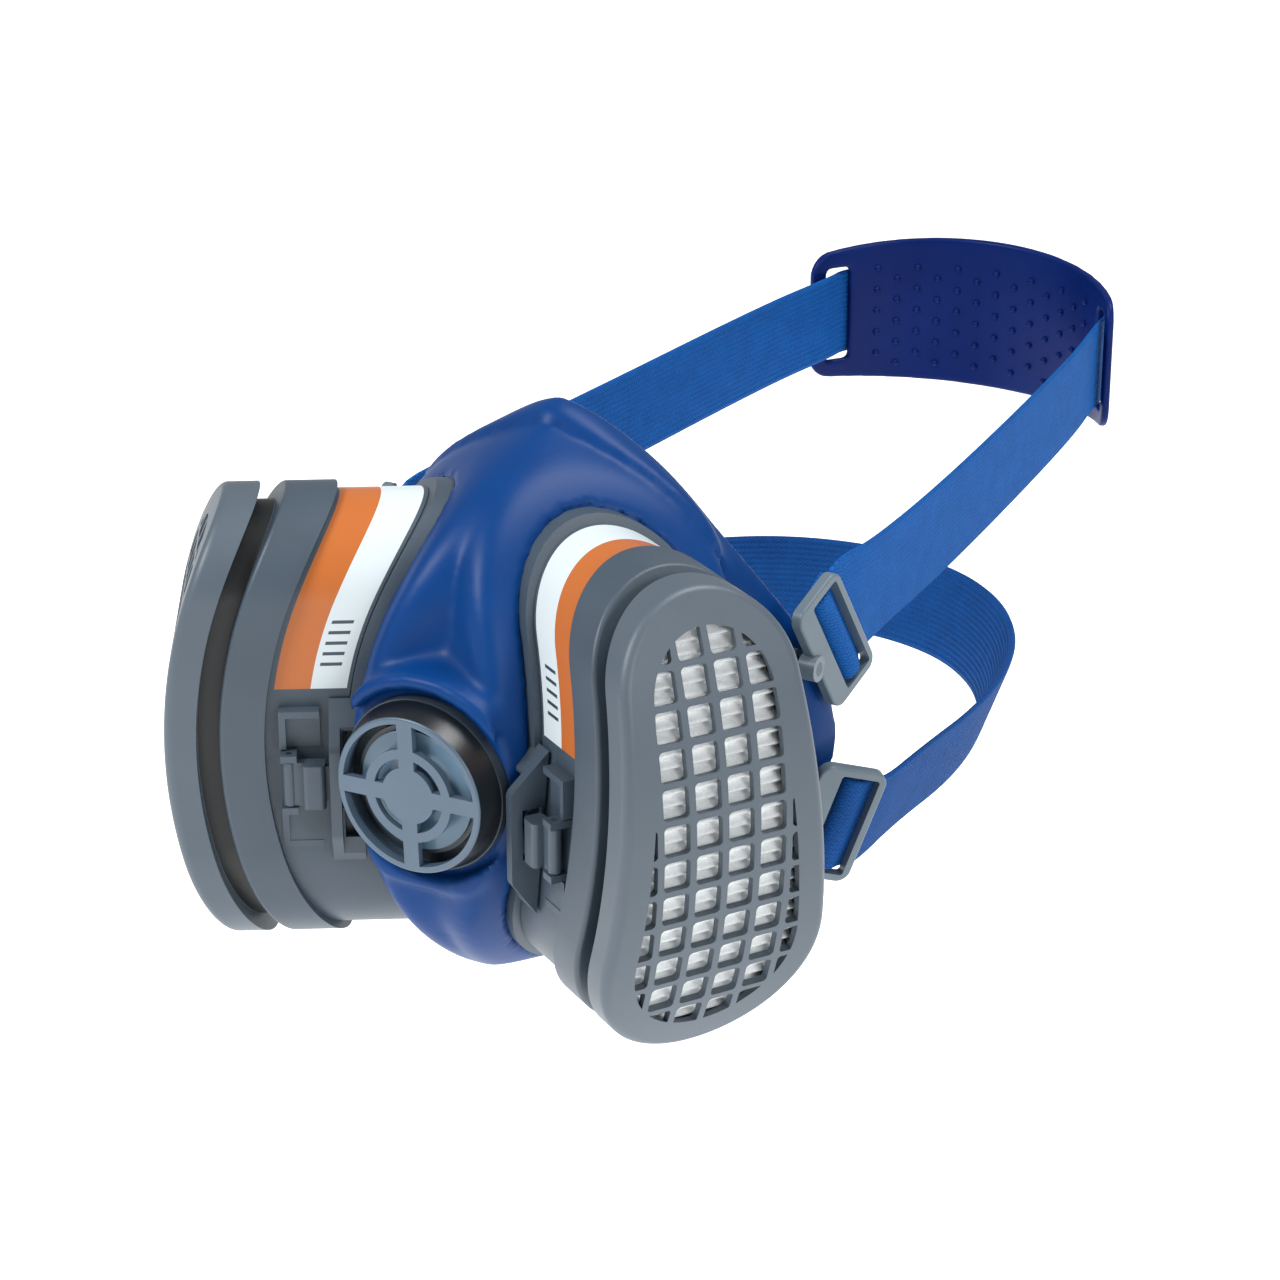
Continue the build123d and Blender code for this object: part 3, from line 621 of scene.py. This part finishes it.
start = (-72.0, -84.0, -72.0)
x, y, z = grid_axes(start, (72.0, 12.0, 88.0), GRID)
points, faces = surface_net(facepiece_field(x, y, z, GRID), start, GRID)
points = relax(points, faces, 2)
facepiece = mesh_piece("facepiece_moulding", points, faces, elastomer)
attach(facepiece, "mask")
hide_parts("facepiece")
print("facepiece:", len(points), "points,", len(faces), "quads")
print("facepiece box, mm:", points.min(0).round(1), points.max(0).round(1))

# %% [markdown]
# ## Head cradle
# The cradle is a band of soft rubber with a slot near each end. It is a field too, worked out
# flat and then bent round the back of the head: a flat band is simple to describe, and bending
# its net keeps the edges round. The nubs that grip the hair are placed by Geometry Nodes.

# %% Cradle band
CRADLE_Y, CRADLE_Z, CRADLE_RADIUS = 175.5, 18.5, 50.5
CRADLE_THICKNESS, CRADLE_HEIGHT, CRADLE_END = 2.2, 43.0, 35.5
CRADLE_HALF_ANGLE, SLOT_ANGLE, SLOT_WIDTH = math.radians(63), math.radians(53.3), 7.5
WEBBING_WIDTH, WEBBING_THICKNESS = 24.0, 1.5
CRADLE_GRID = 0.55


def rounded_box(across, up, half_across, half_up, radius):
    """Distance from a rectangle with rounded corners."""
    over = np.maximum(np.abs(across) - half_across + radius, 0)
    high = np.maximum(np.abs(up) - half_up + radius, 0)
    near = np.minimum(np.maximum(np.abs(across) - half_across, np.abs(up) - half_up) + radius, 0)
    return np.hypot(over, high) + near - radius


def cradle_field(along, up, depth):
    """The flat band: taller in the middle, with two slots and a rounded edge."""
    half = CRADLE_RADIUS * CRADLE_HALF_ANGLE
    taper = (CRADLE_HEIGHT - CRADLE_END) / 2 * (along / half) ** 2
    outline = rounded_box(along, np.abs(up) + taper, half, CRADLE_HEIGHT / 2, 6.0)
    slot_at = CRADLE_RADIUS * SLOT_ANGLE
    slot = rounded_box(np.abs(along) - slot_at, up, SLOT_WIDTH / 2, (WEBBING_WIDTH + 3) / 2, 1.5)
    flat = keep(outline, -slot, 0.5)
    return keep(flat, np.abs(depth) - CRADLE_THICKNESS / 2, 1.0)


def bend_round_head(points):
    """Bend (along, up, depth) to the cradle's arc; depth grows away from the head."""
    angle = points[:, 0] / CRADLE_RADIUS
    radius = CRADLE_RADIUS + points[:, 2]
    return np.stack([radius * np.sin(angle), CRADLE_Y + radius * np.cos(angle), CRADLE_Z + points[:, 1]], 1)


start = (-58.0, -23.0, -2.0)
along, up, depth = grid_axes(start, (58.0, 23.0, 2.0), CRADLE_GRID)
points, faces = surface_net(cradle_field(along, up, depth), start, CRADLE_GRID)
points = bend_round_head(relax(points, faces, 1))
cradle = mesh_piece("head_cradle_band", points, faces[:, ::-1], cradle_rubber)
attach(cradle, "head_harness")
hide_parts("head_cradle")
end_bar = CRADLE_RADIUS * (CRADLE_HALF_ANGLE - SLOT_ANGLE) - SLOT_WIDTH / 2
print("cradle:", len(points), "points; end bar", round(end_bar, 1), "mm")


# %% Geometry Nodes helpers
def new_tree(name, sockets):
    """A geometry tree with named inputs, each a kind and a default, and its two ends."""
    tree = bpy.data.node_groups.new(name, "GeometryNodeTree")
    tree.interface.new_socket("Geometry", in_out="OUTPUT", socket_type="NodeSocketGeometry")
    for label, (kind, value) in sockets.items():
        made = tree.interface.new_socket(label, in_out="INPUT", socket_type="NodeSocket" + kind)
        made.default_value = value
    return tree, add(tree, "NodeGroupInput").outputs, add(tree, "NodeGroupOutput")


def grown(name, tree, values, body):
    """Run a tree on an empty mesh and keep the result as a plain mesh that rides on a body."""
    maker = bpy.data.objects.new(name + "_maker", bpy.data.meshes.new(name + "_maker"))
    bpy.context.scene.collection.objects.link(maker)
    modifier = maker.modifiers.new("nodes", "NODES")
    modifier.node_group = tree
    for item in tree.interface.items_tree:
        if item.in_out == "INPUT" and item.name in values:
            modifier[item.identifier] = values[item.name]
    depsgraph = bpy.context.evaluated_depsgraph_get()
    mesh = bpy.data.meshes.new_from_object(maker.evaluated_get(depsgraph))
    bpy.data.objects.remove(maker)
    piece = bpy.data.objects.new(name, mesh)
    mesh.name = name
    bpy.context.scene.collection.objects.link(piece)
    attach(piece, body)
    print(name + ":", len(mesh.polygons), "faces")


# %% Cradle nubs
def nub_tree():
    """Staggered rows of low domes, bent round the inside of the cradle."""
    tree, given, end = new_tree("cradle_nubs", {
        "Columns": ("Int", 13), "Rows": ("Int", 5), "Column Pitch": ("Float", 0.0057),
        "Row Pitch": ("Float", 0.0063), "Nub Radius": ("Float", 0.001), "Bend Radius": ("Float", 0.0494)})
    wide = maths(tree, "MULTIPLY", given["Column Pitch"], maths(tree, "SUBTRACT", given["Columns"], 1.0))
    tall = maths(tree, "MULTIPLY", given["Row Pitch"], maths(tree, "SUBTRACT", given["Rows"], 1.0))
    field = add(tree, "GeometryNodeMeshGrid", {
        "Size X": wide, "Size Y": tall, "Vertices X": given["Columns"], "Vertices Y": given["Rows"]})
    place = add(tree, "ShaderNodeSeparateXYZ", {0: add(tree, "GeometryNodeInputPosition").outputs[0]})
    column = maths(tree, "ROUND", maths(tree, "DIVIDE", maths(
        tree, "ADD", place.outputs[0], maths(tree, "DIVIDE", wide, 2.0)), given["Column Pitch"]))
    odd = maths(tree, "MODULO", column, 2.0)
    shift = maths(tree, "MULTIPLY", maths(tree, "MULTIPLY", odd, given["Row Pitch"]), -0.5)
    height = maths(tree, "ADD", place.outputs[1], shift)
    angle = maths(tree, "DIVIDE", place.outputs[0], given["Bend Radius"])
    bent = add(tree, "ShaderNodeCombineXYZ", {
        0: maths(tree, "MULTIPLY", given["Bend Radius"], maths(tree, "SINE", angle)),
        1: maths(tree, "MULTIPLY", given["Bend Radius"], maths(tree, "COSINE", angle)), 2: height})
    moved = add(tree, "GeometryNodeSetPosition", {"Geometry": field.outputs[0], "Position": bent.outputs[0]})
    dome = add(tree, "GeometryNodeMeshIcoSphere", {"Radius": given["Nub Radius"], "Subdivisions": 2})
    dots = add(tree, "GeometryNodeInstanceOnPoints", {"Points": moved.outputs[0], "Instance": dome.outputs[0]})
    real = add(tree, "GeometryNodeRealizeInstances", {0: dots.outputs[0]})
    smooth = add(tree, "GeometryNodeSetShadeSmooth", {0: real.outputs[0]})
    home = add(tree, "GeometryNodeTransform", {
        "Geometry": smooth.outputs[0], "Translation": (0, CRADLE_Y * MM, CRADLE_Z * MM)})
    painted = add(tree, "GeometryNodeSetMaterial", {"Geometry": home.outputs[0], "Material": cradle_rubber})
    tree.links.new(painted.outputs[0], end.inputs[0])
    return tree


nub_layout = {
    "Columns": 13, "Rows": 5, "Column Pitch": 5.7 * MM, "Row Pitch": 6.3 * MM, "Nub Radius": 1.0 * MM,
    "Bend Radius": (CRADLE_RADIUS - CRADLE_THICKNESS / 2) * MM}
grown("cradle_grip_nubs", nub_tree(), nub_layout, "head_harness")

# %% [markdown]
# ## Elastic webbing
# The straps are knitted elastic, 24 mm wide. The outside is a close knit; the inside shows the
# rubber cores as ribs that run along the strap. The ribs are real geometry: the strap's section
# is drawn with them and swept along the route. Each point keeps how far it is along and across
# the strap, so that the knit follows the bends.


# %% Webbing material
COURSE_PITCH, WALE_PITCH = 1.1, 0.9


def two_tone(tree, amount, low, dark, high, light):
    """A colour that goes from dark to light as the amount goes from low to high."""
    ramp = add(tree, "ShaderNodeValToRGB", {0: amount})
    for element, place, colour in zip(ramp.color_ramp.elements, (low, high), (dark, light)):
        element.position = place
        element.color = linear(colour)
    return ramp.outputs[0]


def webbing_material(name, dark, light):
    """Knitted polyester: courses that repeat along it, wales across it, and a slow mottle."""
    material, tree, surface, _ = new_material(name, Roughness=0.8, IOR=1.5, Specular_IOR_Level=0.2)
    along = add(tree, "ShaderNodeAttribute", attribute_name="along").outputs["Fac"]
    across = add(tree, "ShaderNodeAttribute", attribute_name="across").outputs["Fac"]
    flat = add(tree, "ShaderNodeCombineXYZ", {0: along, 1: across}).outputs[0]
    slow = add(tree, "ShaderNodeTexNoise", {"Vector": flat, "Scale": 0.16, "Detail": 2.0}).outputs["Fac"]
    fine = add(tree, "ShaderNodeTexNoise", {"Vector": flat, "Scale": 1.5, "Detail": 3.0}).outputs["Fac"]
    courses = maths(tree, "SINE", maths(tree, "MULTIPLY", along, 2 * math.pi / COURSE_PITCH))
    wales = maths(tree, "SINE", maths(tree, "MULTIPLY", across, 2 * math.pi / WALE_PITCH))
    knit = maths(tree, "MULTIPLY", courses, wales)
    mixed = maths(tree, "ADD", maths(tree, "MULTIPLY", fine, 0.5), maths(tree, "MULTIPLY", knit, 0.2))
    patches = maths(tree, "MULTIPLY", maths(tree, "SUBTRACT", slow, 0.5), 0.25)
    shade = maths(tree, "ADD", patches, mixed)
    tree.links.new(two_tone(tree, shade, 0.03, dark, 0.5, light), surface.inputs["Base Color"])
    relief = add(tree, "ShaderNodeBump", {"Height": mixed, "Strength": 0.5, "Distance": 0.25 * MM})
    tree.links.new(relief.outputs["Normal"], surface.inputs["Normal"])
    return material


head_webbing = webbing_material("polyester_knit_webbing_bright", "#003c78", "#045aa8")
neck_webbing = webbing_material("polyester_knit_webbing_deep", "#013268", "#054c92")


# %% Webbing sweep
SWEEP_STEP = 1.6
RIB_PITCH, RIB_HEIGHT = 1.45, 0.16
KNIT_PITCH, KNIT_HEIGHT = 1.2, 0.05


def evenly(rows, step):
    """Points a fixed distance apart along a route of (place, across) rows."""
    run = np.concatenate([[0], np.cumsum(np.linalg.norm(np.diff(rows[:, :3], axis=0), axis=1))])
    spots = np.linspace(0, run[-1], max(int(run[-1] / step), 4))
    return spots, np.stack([np.interp(spots, run, rows[:, column]) for column in range(rows.shape[1])], 1)


def strap_section():
    """Points round the webbing's section: (across, out), nearly plain outside and ribbed inside."""
    half = WEBBING_WIDTH / 2
    spread = np.linspace(-half + 0.4, half - 0.4, 81)
    swell = 1 - (np.abs(spread) / half) ** 12 * 0.25
    knit = KNIT_HEIGHT * np.cos(2 * np.pi * spread / KNIT_PITCH)
    ribs = RIB_HEIGHT * np.cos(2 * np.pi * spread / RIB_PITCH)
    outer = np.stack([spread, WEBBING_THICKNESS / 2 * swell - knit], 1)
    inner = np.stack([spread, -WEBBING_THICKNESS / 2 * swell + ribs], 1)
    right = np.array([[half, 0.3], [half, -0.3]])
    left = np.array([[-half, -0.3], [-half, 0.3]])
    return np.vstack([outer, right, inner[::-1], left])


def strap(name, rows, material, body, node):
    """Sweep the webbing's section along a route of (place, across) rows."""
    spots, rows = evenly(soften(rows, 4), SWEEP_STEP)
    place, across = rows[:, :3], rows[:, 3:]
    ahead = np.gradient(place, axis=0)
    ahead /= np.linalg.norm(ahead, axis=1)[:, None]
    across = across - (across * ahead).sum(1)[:, None] * ahead
    across /= np.linalg.norm(across, axis=1)[:, None]
    out = np.cross(ahead, across)
    section = strap_section()
    points = place[:, None] + section[None, :, :1] * across[:, None]
    points = points + section[None, :, 1:] * out[:, None]
    sides = len(section)
    ring = np.arange(sides)
    after = (ring + 1) % sides
    base = np.arange(len(spots) - 1)[:, None] * sides
    quads = np.stack([base + ring, base + after, base + sides + after, base + sides + ring], 2)
    ends = [ring[::-1].tolist(), (ring + (len(spots) - 1) * sides).tolist()]
    faces = quads.reshape(-1, 4).tolist() + ends
    piece = mesh_piece(name, points.reshape(-1, 3), faces, material)
    measures = {"along": np.repeat(spots, sides), "across": np.tile(section[:, 0], len(spots))}
    for label, values in measures.items():
        attribute = piece.data.attributes.new(label, "FLOAT", "POINT")
        attribute.data.foreach_set("value", values.astype(np.float32))
    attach(piece, body)
    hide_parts(node)
    print(name + ":", round(spots[-1]), "mm of webbing,", len(faces), "faces")


# %% [markdown]
# ## Routes through the buckles
# In each buckle the webbing comes in behind the outer rim, goes over the hidden bar, turns round
# it and doubles back on the inside. The route is written in the buckle's own directions.

# %% Strap routes
UPPER_BUCKLE = ((59.6, 0.0, 17.0), (0.134, 0.885, 0.4475), (-0.150, -0.428, 0.891))
LOWER_BUCKLE = ((62.5, -3.5, -26.6), (0.650, 0.698, -0.299), (0.297, 0.129, 0.9465))
IN_BUCKLE = [(8.6, -4.4), (5.5, -4.0), (3.0, -3.4), (0.2, -2.6), (-1.4, -0.9), (-0.6, 0.7), (1.6, 0.9),
             (3.4, 0.4), (6.0, -2.3), (9.6, -2.7)]
HEAD_ROUTE = [(56.6, 26.0, 19.3), (53.2, 80.0, 18.0), (45.6, 170.0, 18.4), (40.4, 201.2, CRADLE_Z)]
NECK_ROUTE = [(67, 28, -29), (67, 58, -31), (62.5, 86, -33), (54, 110, -35), (41, 130, -36.3),
              (23, 144, -37)]
NECK_MIDDLE = (0, 149, -37.2)
NECK_BANK = math.radians(20)
# Which way the neck strap's outside faces at each point of its route
NECK_TURNS = np.radians([0, 5, 20, 40, 60, 80])
STRAP_GAP = 0.3
WRAP_ANGLE, WRAP_POINTS = 50, 13


def buckle_rows(buckle):
    """The webbing's (place, across) rows inside one buckle."""
    origin = np.array(buckle[0])
    lie = np.array(buckle[1]) / np.linalg.norm(buckle[1])
    normal = np.cross(lie, np.array(buckle[2]) / np.linalg.norm(buckle[2]))
    normal /= np.linalg.norm(normal)
    up = np.cross(normal, lie)
    return [np.concatenate([origin + lie * along + normal * out, up]) for along, out in IN_BUCKLE]


def both_halves(right, middle):
    """A route's right half, its middle, and the right half mirrored to the left."""
    right = np.array(right)
    left = right[::-1] * np.array([-1, 1, 1, -1, 1, 1])
    return np.vstack([right, np.array(middle), left])


upright = (0, 0, 1)
outer = CRADLE_RADIUS + CRADLE_THICKNESS / 2 + STRAP_GAP + WEBBING_THICKNESS / 2
arc = []
for turn in np.radians(np.linspace(WRAP_ANGLE, -WRAP_ANGLE, WRAP_POINTS)):
    arc.append((outer * math.sin(turn), CRADLE_Y + outer * math.cos(turn), CRADLE_Z, *upright))
head_right = buckle_rows(UPPER_BUCKLE) + [(*place, *upright) for place in HEAD_ROUTE]
head_rows = both_halves(head_right, arc)
strap("head_strap_webbing", head_rows, head_webbing, "head_harness", "head_strap")

sideways, upwards = math.sin(NECK_BANK), math.cos(NECK_BANK)
neck_right = buckle_rows(LOWER_BUCKLE)
for place, turn in zip(NECK_ROUTE, NECK_TURNS):
    neck_right.append((*place, sideways * math.cos(turn), sideways * math.sin(turn), upwards))
neck_rows = both_halves(neck_right, [(*NECK_MIDDLE, 0, sideways, upwards)])
strap("neck_strap_webbing", neck_rows, neck_webbing, "neck_harness", "neck_strap")

# %% [markdown]
# ## Pleated filter paper
# Behind each grille is a pack of white nonwoven paper, folded into pleats that run across the
# cartridge. Only the folds show. Each pack is a closed block whose front rises and falls.

# %% Pleated paper
PLEAT_PITCH, PLEAT_HEIGHT = 2.7, 2.0
MEDIA_FRONT, MEDIA_BACK, MEDIA_INSET = 2.5, 11.7, 6.3
MEDIA_ROWS, MEDIA_COLUMNS = 340, 9


def paper():
    """Nonwoven polypropylene: white, matt, with tangled fibres about a millimetre apart."""
    material, tree, surface, place = new_material(
        "polypropylene_nonwoven_white", Roughness=0.9, IOR=1.49, Sheen_Weight=0.15)
    fibre = add(tree, "ShaderNodeTexNoise", {
        "Vector": place, "Scale": 1 / (0.9 * MM), "Detail": 4.0, "Distortion": 1.5}).outputs["Fac"]
    paper_white = two_tone(tree, fibre, 0.3, "#e6ecee", 0.7, "#ffffff")
    tree.links.new(paper_white, surface.inputs["Base Color"])
    relief = add(tree, "ShaderNodeBump", {"Height": fibre, "Strength": 0.4, "Distance": 0.2 * MM})
    tree.links.new(relief.outputs["Normal"], surface.inputs["Normal"])
    return material


def media_half_width(up, inset):
    """Half the outline's width at a height, drawn in by the inset."""
    span = UPPER_CENTRE - LOWER_CENTRE
    sine = (LOWER_RADIUS - UPPER_RADIUS) / span
    cosine = math.sqrt(1 - sine ** 2)
    low, high = LOWER_RADIUS - inset, UPPER_RADIUS - inset
    if up < LOWER_CENTRE + low * sine:
        return math.sqrt(max(low ** 2 - (up - LOWER_CENTRE) ** 2, 0.01))
    if up > UPPER_CENTRE + high * sine:
        return math.sqrt(max(high ** 2 - (up - UPPER_CENTRE) ** 2, 0.01))
    return (low - (up - LOWER_CENTRE) * sine) / cosine


def block_faces(rows, wide):
    """Quads of a closed block: a front sheet, a back sheet behind it, and the walls between."""
    back = rows * wide
    faces = []
    for row in range(rows - 1):
        for column in range(wide - 1):
            a = row * wide + column
            faces.append((a, a + 1, a + wide + 1, a + wide))
            faces.append((a + back, a + back + wide, a + back + wide + 1, a + back + 1))
    left = [row * wide for row in range(rows)]
    right = [start + wide - 1 for start in left]
    rim = left + [left[-1] + column for column in range(1, wide)]
    rim += right[-2::-1] + [column for column in range(wide - 2, -1, -1)]
    for near, far in zip(rim, rim[1:]):
        faces.append((near, far, far + back, near + back))
    return faces


def pleated_pack(name, side, material):
    """A closed block in the cartridge's frame, then placed on its side of the mask."""
    low = LOWER_CENTRE - LOWER_RADIUS + MEDIA_INSET
    high = UPPER_CENTRE + UPPER_RADIUS - MEDIA_INSET
    points = []
    for front in (True, False):
        for up in np.linspace(low + 0.1, high - 0.1, MEDIA_ROWS):
            half = media_half_width(up, MEDIA_INSET)
            fold = abs((up / PLEAT_PITCH) % 1 - 0.5) * 2
            fold = fold * fold * (3 - 2 * fold)
            depth = MEDIA_FRONT + PLEAT_HEIGHT * (1 - fold) if front else MEDIA_BACK
            radius = FACE_BOW - BOW_TIGHTENING * depth
            out = -depth - radius + math.sqrt(radius ** 2 - up ** 2)
            for across in half * np.linspace(-1, 1, MEDIA_COLUMNS):
                x = FACE_X + across * math.cos(FILTER_YAW) + out * math.sin(FILTER_YAW)
                y = FACE_Y + across * math.sin(FILTER_YAW) - out * math.cos(FILTER_YAW)
                points.append((side * x, y, up))
    faces = block_faces(MEDIA_ROWS, MEDIA_COLUMNS)
    if side < 0:
        faces = [face[::-1] for face in faces]
    print(name + ":", round((high - low) / PLEAT_PITCH), "pleats")
    return mesh_piece(name, points, faces, material)


filter_paper = paper()
for side, sign in SIDES.items():
    pack = pleated_pack("pleated_paper_" + side, sign, filter_paper)
    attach(pack, "cartridge_" + side)
    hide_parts("pleated_media_" + side)
